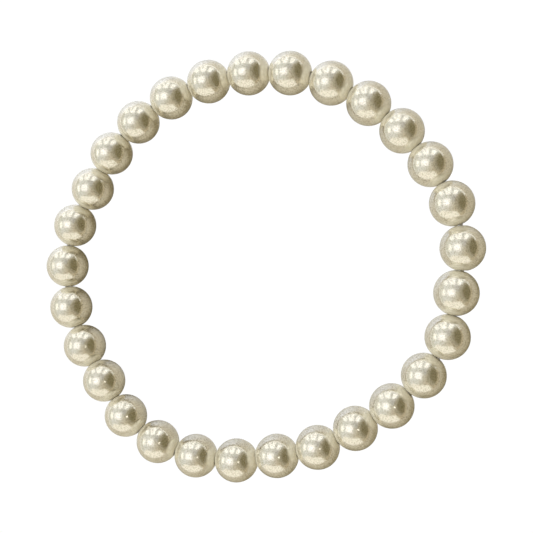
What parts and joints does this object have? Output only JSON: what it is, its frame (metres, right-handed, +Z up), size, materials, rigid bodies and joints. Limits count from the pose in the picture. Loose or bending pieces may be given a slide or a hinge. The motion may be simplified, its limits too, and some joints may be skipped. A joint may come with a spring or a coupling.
{
  "type": "pearl bracelet",
  "caption": "Stretch bracelet of equal round champagne pearls, each drilled and threaded on one closed loop of hidden elastic, lying flat.",
  "frame": {"origin": "on the surface the bracelet lies on, under the middle of its outline", "axes": "+Z up through the wrist hollow, +X towards the right of the picture, +Y towards its top"},
  "size_m": [0.0622, 0.0592, 0.006],
  "materials": {
    "pearl": "champagne pearl lacquer with a metallic lustre over a glass bead",
    "elastic": "clear stretch cord"
  },
  "bodies": {
    "root": {"pearl_01": "pearl", "pearl_02": "pearl", "pearl_03": "pearl", "pearl_04": "pearl", "pearl_05": "pearl", "pearl_06": "pearl", "pearl_07": "pearl", "pearl_08": "pearl", "pearl_09": "pearl", "pearl_10": "pearl", "pearl_11": "pearl", "pearl_12": "pearl", "pearl_13": "pearl", "pearl_14": "pearl", "pearl_15": "pearl", "pearl_16": "pearl", "pearl_17": "pearl", "pearl_18": "pearl", "pearl_19": "pearl", "pearl_20": "pearl", "pearl_21": "pearl", "pearl_22": "pearl", "pearl_23": "pearl", "pearl_24": "pearl", "pearl_25": "pearl", "pearl_26": "pearl", "pearl_27": "pearl", "pearl_28": "pearl", "pearl_29": "pearl", "elastic_cord": "elastic"}
  },
  "joints": []
}
